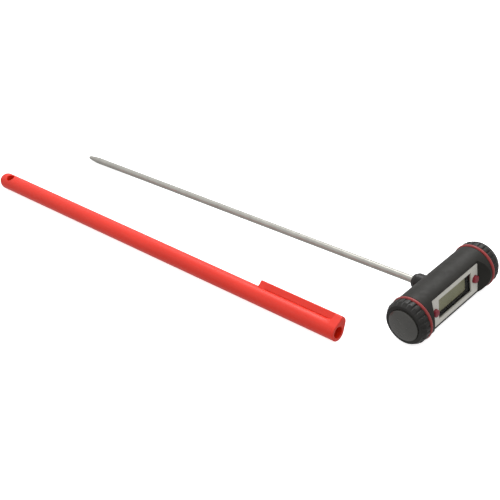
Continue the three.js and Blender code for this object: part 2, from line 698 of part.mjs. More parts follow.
function assembleSheath() {
  const sheath = new THREE.Group();
  place(sheath, 'sheath_tube', makeSheathTube(), RED_PLASTIC);
  place(sheath, 'pocket_clip', makePocketClip(), RED_PLASTIC);
  sheath.rotation.z = SHEATH_YAW;
  sheath.position.set(SHEATH_X, SHEATH_Y, SHEATH_RADIUS);
  return sheath;
}

const group = new THREE.Group();
group.add(assembleThermometer(), assembleSheath());

// The origin is the middle of the bottom of everything's bounding box.
group.updateMatrixWorld(true);
const bounds = new THREE.Box3().setFromObject(group, true);
const middle = bounds.getCenter(new THREE.Vector3());
group.position.set(-middle.x, -middle.y, -bounds.min.z);

export default group;
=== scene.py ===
import json
import math

import bmesh
import bpy
import numpy as np
from mathutils import Matrix, Vector


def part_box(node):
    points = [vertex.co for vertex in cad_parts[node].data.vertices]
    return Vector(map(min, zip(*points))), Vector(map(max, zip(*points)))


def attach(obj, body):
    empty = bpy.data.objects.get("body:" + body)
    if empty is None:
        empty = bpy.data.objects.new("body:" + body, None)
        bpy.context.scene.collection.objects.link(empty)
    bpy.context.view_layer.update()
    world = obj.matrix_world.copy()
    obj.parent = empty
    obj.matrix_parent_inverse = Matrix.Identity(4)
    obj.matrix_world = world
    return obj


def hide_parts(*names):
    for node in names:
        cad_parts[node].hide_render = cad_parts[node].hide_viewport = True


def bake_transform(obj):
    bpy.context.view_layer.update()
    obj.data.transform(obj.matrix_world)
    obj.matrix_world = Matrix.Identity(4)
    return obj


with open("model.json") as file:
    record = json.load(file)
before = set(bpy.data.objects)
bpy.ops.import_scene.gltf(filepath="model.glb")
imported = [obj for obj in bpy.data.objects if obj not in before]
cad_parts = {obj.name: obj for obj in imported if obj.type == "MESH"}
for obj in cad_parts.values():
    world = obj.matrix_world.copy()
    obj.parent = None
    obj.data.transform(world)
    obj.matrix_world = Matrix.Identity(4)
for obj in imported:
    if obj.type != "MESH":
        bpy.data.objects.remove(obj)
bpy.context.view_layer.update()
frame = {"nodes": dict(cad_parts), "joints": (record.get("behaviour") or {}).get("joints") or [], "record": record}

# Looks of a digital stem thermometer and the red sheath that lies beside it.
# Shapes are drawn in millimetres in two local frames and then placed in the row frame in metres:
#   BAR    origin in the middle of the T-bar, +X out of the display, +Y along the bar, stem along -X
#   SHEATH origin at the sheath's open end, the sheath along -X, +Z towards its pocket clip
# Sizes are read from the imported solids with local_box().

MM = 0.001

JOINTS = {joint["name"]: joint for joint in frame["joints"]}
MOUNTS = {mount["name"]: mount for mount in frame["record"]["mounts"]}
SIDES = (("left", -1), ("right", 1))


# ---- Local frames and sizes ---------------------------------------------------------------------

def local_frame(origin, x_axis, y_axis=None):
    """Matrix from local millimetres to the row frame. Local Y is level if it isn't given."""
    x_axis = Vector(x_axis).normalized()
    y_axis = Vector(y_axis or Vector((0, 0, 1)).cross(x_axis)).normalized()
    z_axis = x_axis.cross(y_axis)
    matrix = Matrix((x_axis, y_axis, z_axis)).transposed().to_4x4()
    matrix.translation = Vector(origin)
    return matrix @ Matrix.Scale(MM, 4)


def bar_frame():
    low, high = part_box("bar_housing")
    cap = JOINTS["cap_left_turn"]["pos_m"]
    origin = (cap[0], (low.y + high.y) / 2, cap[2])
    return local_frame(origin, -Vector(JOINTS["button_left_press"]["axis"]))


def sheath_frame():
    low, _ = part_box("sheath_tube")
    mouth = Vector(MOUNTS["sheath_mouth"]["pos_m"])
    centre = (mouth.x, mouth.y, low.z + SHEATH_RADIUS * MM)
    return local_frame(centre, JOINTS["sheath_slide"]["axis"], Vector(JOINTS["clip_flex"]["axis"]))


# Radius of the sheath, which its frame needs: the sheath lies on the floor.
SHEATH_RADIUS = 4.8
BAR = bar_frame()
SHEATH = sheath_frame()


def local_box(node, place):
    """(low, high) of a CAD node in a local frame, in millimetres."""
    inverse = place.inverted()
    points = np.array([inverse @ vertex.co for vertex in frame["nodes"][node].data.vertices])
    return points.min(axis=0), points.max(axis=0)


# ---- Mesh building ------------------------------------------------------------------------------

# Where a turned profile's along, sideways and upward directions point in the local frame.
AXES = {
    "bar": ((0, 1, 0), (1, 0, 0), (0, 0, 1)),
    "stem": ((-1, 0, 0), (0, 1, 0), (0, 0, 1)),
    "display": ((1, 0, 0), (0, 1, 0), (0, 0, 1)),
}


def rounded(points, steps=3):
    """A profile of (radius, along) or (radius, along, fillet) points, with the fillets as arcs."""
    out = []
    for index, point in enumerate(points):
        corner = np.array(point[:2], float)
        fillet = point[2] if len(point) > 2 else 0
        if not fillet:
            out.append(tuple(corner))
            continue
        before = np.array(points[index - 1][:2], float) - corner
        after = np.array(points[(index + 1) % len(points)][:2], float) - corner
        length_before, length_after = np.hypot(*before), np.hypot(*after)
        before, after = before / length_before, after / length_after
        half = math.acos(float(np.clip(before @ after, -1, 1))) / 2
        reach = min(fillet / math.tan(half), 0.48 * length_before, 0.48 * length_after)
        radius = reach * math.tan(half)
        middle = before + after
        centre = corner + middle / np.hypot(*middle) * radius / math.sin(half)
        start, end = corner + before * reach - centre, corner + after * reach - centre
        sweep = math.atan2(start[0] * end[1] - start[1] * end[0], float(start @ end))
        for step in range(steps + 1):
            turn = sweep * step / steps
            x = start[0] * math.cos(turn) - start[1] * math.sin(turn)
            y = start[0] * math.sin(turn) + start[1] * math.cos(turn)
            out.append((centre[0] + x, centre[1] + y))
    return out


def dome(radius, start, height, steps):
    """Points on a quarter ellipse from (radius, start) to (0, start + height)."""
    points = []
    for step in range(steps + 1):
        angle = math.pi / 2 * step / steps
        across = radius * math.cos(angle) if step < steps else 0
        points.append((across, start + height * math.sin(angle)))
    return points


def even_angles(count):
    return [2 * math.pi * index / count for index in range(count)]


def turned(name, profile, axis="bar", at=(0, 0, 0), angles=None, reshape=None, closed=False):
    """A solid turned from a profile. reshape(radius, along, angle) may change a ring's radius."""
    angles = angles or even_angles(96)
    along_axis, side_axis, up_axis = (Vector(direction) for direction in AXES[axis])
    mesh = bmesh.new()
    rings = []
    for radius, along in profile:
        centre = Vector(at) + along_axis * along
        if radius < 1e-6:
            rings.append([mesh.verts.new(centre)])
            continue
        ring = []
        for angle in angles:
            r = reshape(radius, along, angle) if reshape else radius
            offset = side_axis * (r * math.sin(angle)) + up_axis * (r * math.cos(angle))
            ring.append(mesh.verts.new(centre + offset))
        rings.append(ring)
    pairs = list(zip(rings, rings[1:])) + ([(rings[-1], rings[0])] if closed else [])
    for first, second in pairs:
        bridge(mesh, first, second)
    return finish_mesh(name, mesh)


def bridge(mesh, first, second):
    """Faces between two rings, either of which may be a single point."""
    count = max(len(first), len(second))
    for index in range(count):
        following = (index + 1) % count
        corners = []
        for ring, order in ((first, (index, following)), (second, (following, index))):
            corners += [ring[0]] if len(ring) == 1 else [ring[order[0]], ring[order[1]]]
        if len(corners) > 2:
            mesh.faces.new(corners)


def finish_mesh(name, mesh):
    bmesh.ops.recalc_face_normals(mesh, faces=mesh.faces)
    data = bpy.data.meshes.new(name)
    mesh.to_mesh(data)
    mesh.free()
    piece = bpy.data.objects.new(name, data)
    bpy.context.scene.collection.objects.link(piece)
    return piece


def lofted(name, sections):
    """A closed solid through sections, each a list of points in the local frame."""
    mesh = bmesh.new()
    rings = [[mesh.verts.new(point) for point in section] for section in sections]
    for first, second in zip(rings, rings[1:]):
        bridge(mesh, first, second)
    for ring in (rings[0], rings[-1]):
        mesh.faces.new(ring)
    return finish_mesh(name, mesh)


def block(name, x, y, z):
    mesh = bmesh.new()
    bmesh.ops.create_cube(mesh, size=1)
    for vertex in mesh.verts:
        for axis, limits in enumerate((x, y, z)):
            vertex.co[axis] = limits[0] if vertex.co[axis] < 0 else limits[1]
    return finish_mesh(name, mesh)


def prism(name, outline, x):
    """Extrudes an outline of (y, z) points from x[0] to x[1]."""
    return lofted(name, [[(along, y, z) for y, z in outline] for along in x])


def slab(name, outline, z):
    """Extrudes an outline of (x, y) points from z[0] to z[1]."""
    return lofted(name, [[(x, y, height) for x, y in outline] for height in z])


def rounded_rectangle(half_width, half_height, corner, steps=6):
    points = []
    for quarter, (u, v) in enumerate(((1, 1), (-1, 1), (-1, -1), (1, -1))):
        for step in range(steps + 1):
            angle = math.pi / 2 * (quarter + step / steps)
            y = u * (half_width - corner) + corner * math.cos(angle)
            z = v * (half_height - corner) + corner * math.sin(angle)
            points.append((y, z))
    return points


def bake(piece):
    """Applies the piece's modifiers to its mesh."""
    graph = bpy.context.evaluated_depsgraph_get()
    piece.data = bpy.data.meshes.new_from_object(piece.evaluated_get(graph))
    piece.modifiers.clear()
    return piece


def combine(piece, operation, *tools):
    """Cuts the tools from the piece (DIFFERENCE) or joins them to it (UNION), and removes them."""
    for tool in tools:
        step = piece.modifiers.new("combine", "BOOLEAN")
        step.operation = operation
        step.solver = "EXACT"
        step.object = tool
    bake(piece)
    for tool in tools:
        bpy.data.objects.remove(tool)
    return piece


def soften(piece, width, segments=2, angle=32):
    """Rounds the piece's sharp edges."""
    bevel = piece.modifiers.new("soften", "BEVEL")
    bevel.width = width
    bevel.segments = segments
    bevel.limit_method = "ANGLE"
    bevel.angle_limit = math.radians(angle)
    return bake(piece)


def smooth(piece, angle=38):
    """Smooth shading, with creases where faces meet at more than the angle."""
    for polygon in piece.data.polygons:
        polygon.use_smooth = True
    piece.data.set_sharp_from_angle(angle=math.radians(angle))
    normals = piece.modifiers.new("normals", "WEIGHTED_NORMAL")
    normals.keep_sharp = True
    return piece


def install(piece, place, material, body, slot, *nodes):
    """Places a piece in the row frame, paints it, and lets it ride on its body."""
    piece.data.transform(place)
    piece.data.materials.clear()
    piece.data.materials.append(material)
    smooth(piece)
    if body:
        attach(piece, body)
    if nodes:
        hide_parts(*nodes)
    return piece


def keep(node, material):
    """A CAD node that keeps its shape gets a finish and smooth shading."""
    piece = frame["nodes"][node]
    piece.data.materials.clear()
    piece.data.materials.append(material)
    return smooth(piece)


# ---- Materials ----------------------------------------------------------------------------------

def plain(name, colour, roughness, **sockets):
    """A Principled material. Its other sockets are given by name, with _ for a space."""
    material = bpy.data.materials.new(name)
    material.use_nodes = True
    shader = material.node_tree.nodes["Principled BSDF"]
    shader.inputs["Base Color"].default_value = (*colour, 1)
    shader.inputs["Roughness"].default_value = roughness
    for socket, value in sockets.items():
        shader.inputs[socket.replace("_", " ")].default_value = value
    return material


def add_node(material, kind, **links):
    """A new node with sockets linked or set by name."""
    tree = material.node_tree
    node = tree.nodes.new(kind)
    for socket, value in links.items():
        target = node.inputs[socket.replace("_", " ")]
        if isinstance(value, bpy.types.NodeSocket):
            tree.links.new(value, target)
        else:
            target.default_value = value
    return node


def grain(material, size, detail=3, stretch=(1, 1, 1), distortion=0):
    """Noise whose features are about size millimetres across."""
    place = add_node(material, "ShaderNodeTexCoord").outputs["Object"]
    mapping = add_node(material, "ShaderNodeMapping", Vector=place, Scale=stretch)
    noise = add_node(
        material, "ShaderNodeTexNoise",
        Vector=mapping.outputs["Vector"], Scale=1 / (size * MM),
        Detail=detail, Distortion=distortion,
    )
    return noise.outputs["Fac"]


def ramp(material, factor, low, high, start=0.3, end=0.7):
    """Colours from low to high as the factor goes from start to end."""
    node = add_node(material, "ShaderNodeValToRGB", Fac=factor)
    node.color_ramp.elements[0].position = start
    node.color_ramp.elements[1].position = end
    node.color_ramp.elements[0].color = (*low, 1)
    node.color_ramp.elements[1].color = (*high, 1)
    return node.outputs["Color"]


def colour_by(material, factor, low, high, start=0.3, end=0.7):
    shader = material.node_tree.nodes["Principled BSDF"]
    colour = ramp(material, factor, low, high, start, end)
    material.node_tree.links.new(colour, shader.inputs["Base Color"])


def roughness_by(material, factor, low, high):
    shader = material.node_tree.nodes["Principled BSDF"]
    node = add_node(material, "ShaderNodeMapRange", Value=factor)
    node.inputs["From Min"].default_value = 0.3
    node.inputs["From Max"].default_value = 0.7
    node.inputs["To Min"].default_value = low
    node.inputs["To Max"].default_value = high
    material.node_tree.links.new(node.outputs["Result"], shader.inputs["Roughness"])


def bump_by(material, factor, depth):
    """Raises the surface by up to depth millimetres. A second call adds to the first."""
    shader = material.node_tree.nodes["Principled BSDF"]
    node = add_node(material, "ShaderNodeBump", Height=factor, Distance=depth * MM)
    normal = shader.inputs["Normal"]
    if normal.is_linked:
        material.node_tree.links.new(normal.links[0].from_socket, node.inputs["Normal"])
    material.node_tree.links.new(node.outputs["Normal"], normal)


def moulded(name, low, high, roughness, texture, depth, **sockets):
    """Moulded plastic or rubber: mottled colour, fine texture and patches of polish."""
    material = plain(name, low, roughness, **sockets)
    colour_by(material, grain(material, 6), low, high)
    roughness_by(material, grain(material, 2.5, 5), roughness - 0.06, roughness + 0.06)
    bump_by(material, grain(material, texture, 2), depth)
    return material


def black_plastic():
    """Satin black ABS with a fine spark-eroded texture and shallow handling scuffs."""
    material = moulded(
        "black_plastic", (0.008, 0.0072, 0.005), (0.013, 0.012, 0.009), 0.5, 0.3, 0.012,
        Specular_IOR_Level=0.3,
    )
    scuffs = grain(material, 1.6, 6, stretch=(1, 0.25, 1), distortion=0.6)
    bump_by(material, scuffs, 0.006)
    return material


def cap_plastic():
    return moulded(
        "cap_plastic", (0.006, 0.0053, 0.0042), (0.01, 0.009, 0.0072), 0.38, 0.25, 0.015,
        Specular_IOR_Level=0.36,
    )


def disc_plastic():
    """Smooth domed disc with fine patches of polish."""
    material = plain("disc_plastic", (0.05, 0.048, 0.042), 0.22, Specular_IOR_Level=0.7)
    colour_by(material, grain(material, 5), (0.045, 0.043, 0.038), (0.06, 0.058, 0.052))
    roughness_by(material, grain(material, 1.2, 5), 0.18, 0.28)
    bump_by(material, grain(material, 0.8), 0.002)
    return material


def silver_paint():
    """Silver paint over plastic: bright flakes in a grey ground."""
    material = plain("silver_paint", (0.6, 0.58, 0.52), 0.42, Metallic=0.2)
    colour_by(material, grain(material, 0.12, 1), (0.5, 0.49, 0.44), (0.74, 0.72, 0.66), 0.35, 0.65)
    roughness_by(material, grain(material, 0.25, 2), 0.34, 0.54)
    bump_by(material, grain(material, 0.15, 2), 0.008)
    return material


def clear_window():
    """Clear styrene. The IOR is set for a true reflection through the low alpha."""
    material = plain("clear_window", (0.02, 0.022, 0.02), 0.06, Alpha=0.15, IOR=1.7)
    roughness_by(material, grain(material, 3), 0.04, 0.1)
    bump_by(material, grain(material, 8), 0.004)
    return material


def lcd_film():
    """Reflective olive polariser with a slight change of tone over its length."""
    material = plain("lcd_film", (0.33, 0.335, 0.2), 0.35)
    tone = grain(material, 14, 1)
    colour_by(material, tone, (0.37, 0.365, 0.21), (0.45, 0.44, 0.265), 0.25, 0.75)
    roughness_by(material, grain(material, 0.3, 2), 0.3, 0.4)
    bump_by(material, grain(material, 0.1, 1), 0.002)
    return material


def lcd_glass_painted_shade():
    # Painted shade: the LCD glass is near black, so the glass around the polariser shows as the shade inside the
    # display's recess.
    material = plain("lcd_glass_painted_shade", (0.02, 0.017, 0.009), 0.2)
    colour_by(material, grain(material, 2), (0.016, 0.013, 0.006), (0.026, 0.022, 0.012))
    return material


def dark_plastic():
    return moulded("dark_plastic", (0.012, 0.012, 0.01), (0.018, 0.017, 0.015), 0.5, 0.2, 0.01)


def red_rubber():
    """Red rubber with a faint bloom."""
    material = moulded(
        "red_rubber", (0.24, 0.015, 0.014), (0.31, 0.022, 0.02), 0.4, 0.35, 0.01,
        Subsurface_Weight=0.08,
    )
    shader = material.node_tree.nodes["Principled BSDF"]
    shader.inputs["Subsurface Scale"].default_value = 0.4 * MM
    shader.inputs["Sheen Weight"].default_value = 0.15
    return material


def button_rubber():
    material = moulded("button_rubber", (0.19, 0.003, 0.014), (0.25, 0.006, 0.022), 0.4, 0.3, 0.008)
    material.node_tree.nodes["Principled BSDF"].inputs["Sheen Weight"].default_value = 0.05
    return material


def red_plastic():
    """Bright red polypropylene: a little light goes in, and the skin is smooth with flow lines."""
    material = plain("red_plastic", (0.76, 0.022, 0.006), 0.36, Subsurface_Weight=0.1)
    shader = material.node_tree.nodes["Principled BSDF"]
    shader.inputs["Subsurface Scale"].default_value = 0.6 * MM
    shader.inputs["Subsurface Radius"].default_value = (1, 0.25, 0.15)
    flow = grain(material, 5, 4, stretch=(0.15, 1, 1))
    colour_by(material, flow, (0.72, 0.019, 0.004), (0.8, 0.026, 0.008))
    roughness_by(material, grain(material, 1.5, 5, stretch=(0.3, 1, 1)), 0.32, 0.4)
    bump_by(material, grain(material, 3, 3, stretch=(0.12, 1, 1)), 0.012)
    bump_by(material, grain(material, 0.25, 2), 0.003)
    return material


def grey_rubber():
    return moulded("grey_rubber", (0.09, 0.1, 0.105), (0.12, 0.13, 0.135), 0.75, 0.3, 0.02)


def brushed_metal(name, low, high, roughness, stretch, metallic=1):
    """Metal with fine lines along one direction."""
    material = plain(name, low, roughness, Metallic=metallic)
    lines = grain(material, 0.35, 3, stretch=stretch)
    colour_by(material, grain(material, 4), low, high)
    roughness_by(material, lines, roughness - 0.07, roughness + 0.07)
    bump_by(material, lines, 0.003)
    return material


def circuit_green():
    """Solder mask over copper, whose edges show as a slight change of green."""
    material = plain("circuit_green", (0.01, 0.1, 0.035), 0.3, Coat_Weight=0.4)
    copper = grain(material, 2.2, 0)
    colour_by(material, copper, (0.008, 0.075, 0.03), (0.02, 0.16, 0.055), 0.48, 0.52)
    bump_by(material, copper, 0.03)
    return material


def epoxy():
    return moulded("epoxy", (0.012, 0.011, 0.01), (0.022, 0.02, 0.017), 0.22, 1.2, 0.03)


def bead_glass():
    material = plain("bead_glass", (0.15, 0.06, 0.015), 0.12, Transmission_Weight=0.3)
    colour_by(material, grain(material, 0.4), (0.11, 0.045, 0.012), (0.2, 0.085, 0.025))
    return material


def lead_insulation():
    return moulded("lead_insulation", (0.74, 0.7, 0.6), (0.82, 0.78, 0.68), 0.5, 0.2, 0.005)


LOOKS = {
    "housing_black": black_plastic(),
    "cap_black": cap_plastic(),
    "cap_disc_grey": disc_plastic(),
    "silver_plate": silver_paint(),
    "window_clear": clear_window(),
    "lcd": lcd_film(),
    "lcd_glass_painted_shade": lcd_glass_painted_shade(),
    "dark_plastic": dark_plastic(),
    "red_rubber": red_rubber(),
    "button_rubber": button_rubber(),
    "red_plastic": red_plastic(),
    "grey_rubber": grey_rubber(),
    "circuit_board": circuit_green(),
    "epoxy": epoxy(),
    "stainless": brushed_metal(
        "stainless", (0.4, 0.392, 0.36), (0.465, 0.457, 0.42), 0.36, (0.04, 1, 1), metallic=0.85,
    ),
    "spring_steel": brushed_metal(
        "spring_steel", (0.5, 0.5, 0.5), (0.58, 0.58, 0.58), 0.3, (1, 1, 0.2),
    ),
    "brass": brushed_metal("brass", (0.55, 0.38, 0.14), (0.66, 0.48, 0.2), 0.3, (0.2, 1, 1)),
    "thermistor_glass": bead_glass(),
    "lead_insulation": lead_insulation(),
}


# ---- Housing ------------------------------------------------------------------------------------

HOUSING = local_box("bar_housing", BAR)
PLATE = local_box("display_plate", BAR)
BAR_RADIUS = HOUSING[1][2]
BAR_HALF_LENGTH = 25.9
SPIGOT_END = HOUSING[1][1]
SPIGOT_RADIUS = 8.8
BAY_RADIUS = 6.2
BATTERY_BAY_FLOOR = 22.3
BLIND_BAY_FLOOR = 28.2
CHAMBER_HALF_LENGTH, CHAMBER_HALF_HEIGHT = 19.5, 7.2
BACK_CHAMBER_X, BACK_CHAMBER_HALF_LENGTH, BACK_CHAMBER_HALF_HEIGHT = -8, 14.5, 6
BACK_CHAMBER_END = 14.3
CONTACT_SLOT_HALF_HEIGHT = 1.8
PLATE_BACK, PLATE_FRONT = PLATE[0][0], PLATE[1][0]
PLATE_HALF_LENGTH, PLATE_HALF_HEIGHT = PLATE[1][1], PLATE[1][2]
FLAT_X = PLATE_FRONT - 0.15
FLAT_HALF_LENGTH = PLATE_HALF_LENGTH + 0.12
RUN_OUT_SLOPE = 0.9
FIT_GAP = 0.1
OUTSIDE = BAR_RADIUS + 1


def rod(name, axis, radius, start, end, sides=48, at=(0, 0, 0)):
    angles = even_angles(sides)
    return turned(name, [(0, start), (radius, start), (radius, end), (0, end)], axis, at, angles)


def both(half):
    return -half, half


def housing_barrel():
    """The bar with its threaded spigots, and the flat with sloping run-outs for the display."""
    half = [
        (SPIGOT_RADIUS, SPIGOT_END, 0.4),
        (SPIGOT_RADIUS, BAR_HALF_LENGTH, 0.2),
        (BAR_RADIUS, BAR_HALF_LENGTH, 0.45),
    ]
    mirrored = [(radius, -along, fillet) for radius, along, fillet in half]
    profile = rounded([(0, -SPIGOT_END), *mirrored, *reversed(half), (0, SPIGOT_END)])
    barrel = turned("bar_housing", profile, "bar", angles=even_angles(144))
    run_out = FLAT_HALF_LENGTH + (OUTSIDE - FLAT_X) * RUN_OUT_SLOPE
    outline = [
        (FLAT_X, -FLAT_HALF_LENGTH), (OUTSIDE, -run_out),
        (OUTSIDE, run_out), (FLAT_X, FLAT_HALF_LENGTH),
    ]
    combine(barrel, "DIFFERENCE", slab("flat", outline, (-OUTSIDE, OUTSIDE)))
    return soften(barrel, 0.22)


def housing_cavities():
    """The pockets that hold the plate, the electronics, the battery and the stem."""
    plate = rounded_rectangle(PLATE_HALF_LENGTH + FIT_GAP, PLATE_HALF_HEIGHT + FIT_GAP, 0.9)
    end = SPIGOT_END + 1
    slot = (-end, -BACK_CHAMBER_END)
    hole = (-BATTERY_BAY_FLOOR - 0.3, -BACK_CHAMBER_END)
    return [
        prism("plate_pocket", plate, (PLATE_BACK - FIT_GAP, OUTSIDE)),
        block("chamber", (-0.3, OUTSIDE), both(CHAMBER_HALF_LENGTH), both(CHAMBER_HALF_HEIGHT)),
        block(
            "back_chamber", (BACK_CHAMBER_X, -0.1),
            both(BACK_CHAMBER_HALF_LENGTH), both(BACK_CHAMBER_HALF_HEIGHT),
        ),
        rod("battery_bay", "bar", BAY_RADIUS, -end, -BATTERY_BAY_FLOOR, 72),
        rod("blind_bay", "bar", BAY_RADIUS, BLIND_BAY_FLOOR, end, 72),
        block("contact_slot", (-6.8, -5.7), slot, both(CONTACT_SLOT_HALF_HEIGHT)),
        rod("spring_hole", "bar", 0.7, *hole, 24, (-3.5, 0, 0)),
        rod("stem_hole", "stem", 3.3, 7.5, OUTSIDE),
        rod("collar_seat", "stem", 4.65, 9.85, OUTSIDE),
    ]


THREAD_TRAVEL = JOINTS["cap_left_travel"]["range_m"][1] / MM
THREAD_TURNS = JOINTS["cap_left_turn"]["range_deg"][1] / 360
THREAD_PITCH = THREAD_TRAVEL / THREAD_TURNS


def thread(name, side):
    """Low moulded thread on a spigot, faded in and out at its ends."""
    steps_per_turn = 72
    turns = 2
    start = BAR_HALF_LENGTH + 0.9
    crest, half_width = 0.24, 0.42
    ridge = ((-0.05, -half_width), (None, -0.12), (None, 0.12), (-0.05, half_width))
    sections = []
    for step in range(steps_per_turn * turns + 1):
        share = step / (steps_per_turn * turns)
        angle = side * 2 * math.pi * turns * share
        along = start + THREAD_PITCH * turns * share
        height = crest * min(1, share * 10, (1 - share) * 10)
        section = []
        for rise, shift in ridge:
            r = SPIGOT_RADIUS + (height if rise is None else rise)
            section.append((r * math.sin(angle), side * (along + shift), r * math.cos(angle)))
        sections.append(section)
    return lofted(name, sections)


def make_housing():
    barrel = combine(housing_barrel(), "DIFFERENCE", *housing_cavities())
    install(barrel, BAR, LOOKS["housing_black"], "handle", "housing_black", "bar_housing")
    for name, side in SIDES:
        ridge = thread(f"spigot_thread_{name}", side)
        install(ridge, BAR, LOOKS["housing_black"], "handle", "housing_black")


# ---- Display and buttons ------------------------------------------------------------------------

BUTTON_Y = 17.1
BUTTON_RADIUS = 2.05
WINDOW_LEDGE_Y, WINDOW_LEDGE_Z = 0.4, 1.2


def make_display_plate():
    lens = local_box("window_lens", BAR)
    corner, window_corner, button_hole = 0.8, 0.35, BUTTON_RADIUS + FIT_GAP
    window = rounded_rectangle(
        lens[1][1] - WINDOW_LEDGE_Y, lens[1][2] - WINDOW_LEDGE_Z, window_corner,
    )
    thickness = (PLATE_BACK, PLATE_FRONT)
    through = (PLATE_BACK - 1, PLATE_FRONT + 1)
    outline = rounded_rectangle(PLATE_HALF_LENGTH, PLATE_HALF_HEIGHT, corner)
    plate = prism("display_plate", outline, thickness)
    holes = [prism("window", window, through)]
    for name, side in SIDES:
        holes.append(rod("hole", "display", button_hole, *through, 48, (0, side * BUTTON_Y, 0)))
    combine(plate, "DIFFERENCE", *holes)
    soften(plate, 0.12, 3)
    return install(plate, BAR, LOOKS["silver_plate"], "handle", "silver_plate", "display_plate")


def make_lcd():
    """Two glass sheets with the ledge for the contacts, and the polariser on the front."""
    (back, _, bottom), (front, side, top) = local_box("lcd_glass", BAR)
    middle = (back + front) / 2
    seal = front - 0.02
    rear = block("lcd_rear_glass", (back, middle), (-side, side), (bottom, top))
    face = block("lcd_front_glass", (middle, seal), (-side, side), (bottom + 0.5, top - 0.5))
    combine(rear, "UNION", face)
    soften(rear, 0.06)
    # The rear glass carries the painted shade that shows around the polariser.
    install(rear, BAR, LOOKS["lcd_glass_painted_shade"], "handle", "lcd", "lcd_glass")
    film = rounded_rectangle(side - 0.95, top - 1.3, 0.2)
    sheet = prism("lcd_polariser", film, (seal - 0.05, front))
    install(sheet, BAR, LOOKS["lcd"], "handle", "lcd")


def make_button(name, side):
    (back, _, _), (top, _, _) = local_box(f"button_{name}", BAR)
    radius, flange, flange_back, flange_front = BUTTON_RADIUS, 2.3, 4.9, 5.7
    crown = top - 0.12
    profile = rounded([
        (0, back), (1.2, back, 0.15), (1.2, flange_back, 0.1), (flange, flange_back, 0.1),
        (flange, flange_front, 0.12), (radius, flange_front, 0.08), (radius - 0.05, crown, 0.65),
        (0.9, top - 0.02), (0, top),
    ], 5)
    button = turned(f"button_{name}", profile, "display", (0, side * BUTTON_Y, 0), even_angles(56))
    body = f"button_{name}"
    return install(button, BAR, LOOKS["button_rubber"], body, "red_rubber", f"button_{name}")


# ---- End caps -----------------------------------------------------------------------------------

CAP = local_box("knurled_cap_right", BAR)
CAP_START, CAP_END = 27.75, CAP[1][1]
CAP_RADIUS = 11.85
CAP_BORE_RADIUS = 9.1
CAP_HUB_RADIUS = 10.4
KNURL_START = 30.9
KNURL_COUNT = 24
KNURL_DEPTH = 0.6
KNURL_HALF_WIDTH = 0.19
DISC_RADIUS = local_box("cap_disc_right", BAR)[1][2]


def knurl_angles():
    """Angles for a ring of lobes: close together in the notches and wider apart on the crests."""
    pitch = 2 * math.pi / KNURL_COUNT
    shares = (-0.34, -0.19, -0.15, -0.1, -0.05, 0, 0.05, 0.1, 0.15, 0.19, 0.34, 0.5)
    return [pitch * (lobe + 0.5 + share) for lobe in range(KNURL_COUNT) for share in shares]


def knurl(radius, along, angle):
    """A round notch between two lobes, on the rim only."""
    if radius < CAP_HUB_RADIUS + 0.02 or along < CAP_START:
        return radius
    pitch = 2 * math.pi / KNURL_COUNT
    across = abs((angle / pitch) % 1 - 0.5) / KNURL_HALF_WIDTH
    notch = KNURL_DEPTH * math.sqrt(max(0, 1 - across ** 2))
    edge = 0.08 * max(0, 1 - abs(across - 1) / 0.35)
    return min(radius, CAP_RADIUS - notch - edge)


def make_cap(name, side):
    seat, seat_floor, bore_floor, hub_start = DISC_RADIUS + FIT_GAP, 32.5, 31.4, 26.1
    face = 10.47
    profile = rounded([
        (0, bore_floor), (CAP_BORE_RADIUS, bore_floor, 0.3), (CAP_BORE_RADIUS, hub_start, 0.25),
        (CAP_HUB_RADIUS, hub_start, 0.25), (CAP_HUB_RADIUS, CAP_START, 0.1),
        (CAP_RADIUS, CAP_START, 0.4), (CAP_RADIUS, KNURL_START, 0.5), (face, CAP_END, 0.35), (seat, CAP_END, 0.15),
        (seat, seat_floor, 0.05), (0, seat_floor),
    ], 4)
    profile = [(radius, side * along) for radius, along in profile]

    def lobes(radius, along, angle):
        return knurl(radius, abs(along), angle)

    cap = turned(f"knurled_cap_{name}", profile, "bar", angles=knurl_angles(), reshape=lobes)
    body = f"cap_{name}"
    return install(cap, BAR, LOOKS["cap_black"], body, "cap_black", f"knurled_cap_{name}")


def make_cap_disc(name, side):
    back, edge, crown = 32.6, 33.95, local_box("cap_disc_right", BAR)[1][1]
    rim = [(0, back), (DISC_RADIUS, back), (DISC_RADIUS, edge)]
    profile = rim + dome(DISC_RADIUS, edge, crown - edge, 14)[1:]
    profile = [(radius, side * along) for radius, along in profile]
    disc = turned(f"cap_disc_{name}", profile, "bar", angles=even_angles(96))
    body = f"cap_{name}"
    return install(disc, BAR, LOOKS["cap_disc_grey"], body, "cap_disc_grey", f"cap_disc_{name}")


def make_sealing_ring(name, side):
    low, high = local_box(f"sealing_ring_{name}", BAR)
    plane, section = (low[1] + high[1]) / 2, (high[1] - low[1]) / 2
    middle = high[2] - section
    profile = []
    for angle in even_angles(20):
        profile.append((middle + section * math.cos(angle), plane + section * math.sin(angle)))
    ring = turned(f"sealing_ring_{name}", profile, "bar", angles=even_angles(120), closed=True)
    body = f"ring_{name}"
    return install(ring, BAR, LOOKS["red_rubber"], body, "red_rubber", f"sealing_ring_{name}")


# ---- Stem ---------------------------------------------------------------------------------------

STEM_RADIUS = 1.9
TAPER_LENGTH = 8.5


def make_stem():
    """Drawn tube, necked down to a rounded tip."""
    start, tip = 6, -local_box("stem_tube", BAR)[0][0]
    bore, tip_radius = 1.6, 1.1
    taper = tip - TAPER_LENGTH
    profile = rounded([
        (0, tip - 2), (0.75, tip - 2.4), (bore, taper - 0.5), (bore, start, 0.1),
        (STEM_RADIUS, start, 0.1), (STEM_RADIUS, taper - 40), (STEM_RADIUS, taper, 1.5),
        (tip_radius + 0.05, tip - tip_radius, 0.4),
    ], 6)
    profile += dome(tip_radius, tip - tip_radius, tip_radius, 8)[1:]
    stem = turned("stem_tube", profile, "stem", angles=even_angles(64))
    return install(stem, BAR, LOOKS["stainless"], "handle", "stainless", "stem_tube")


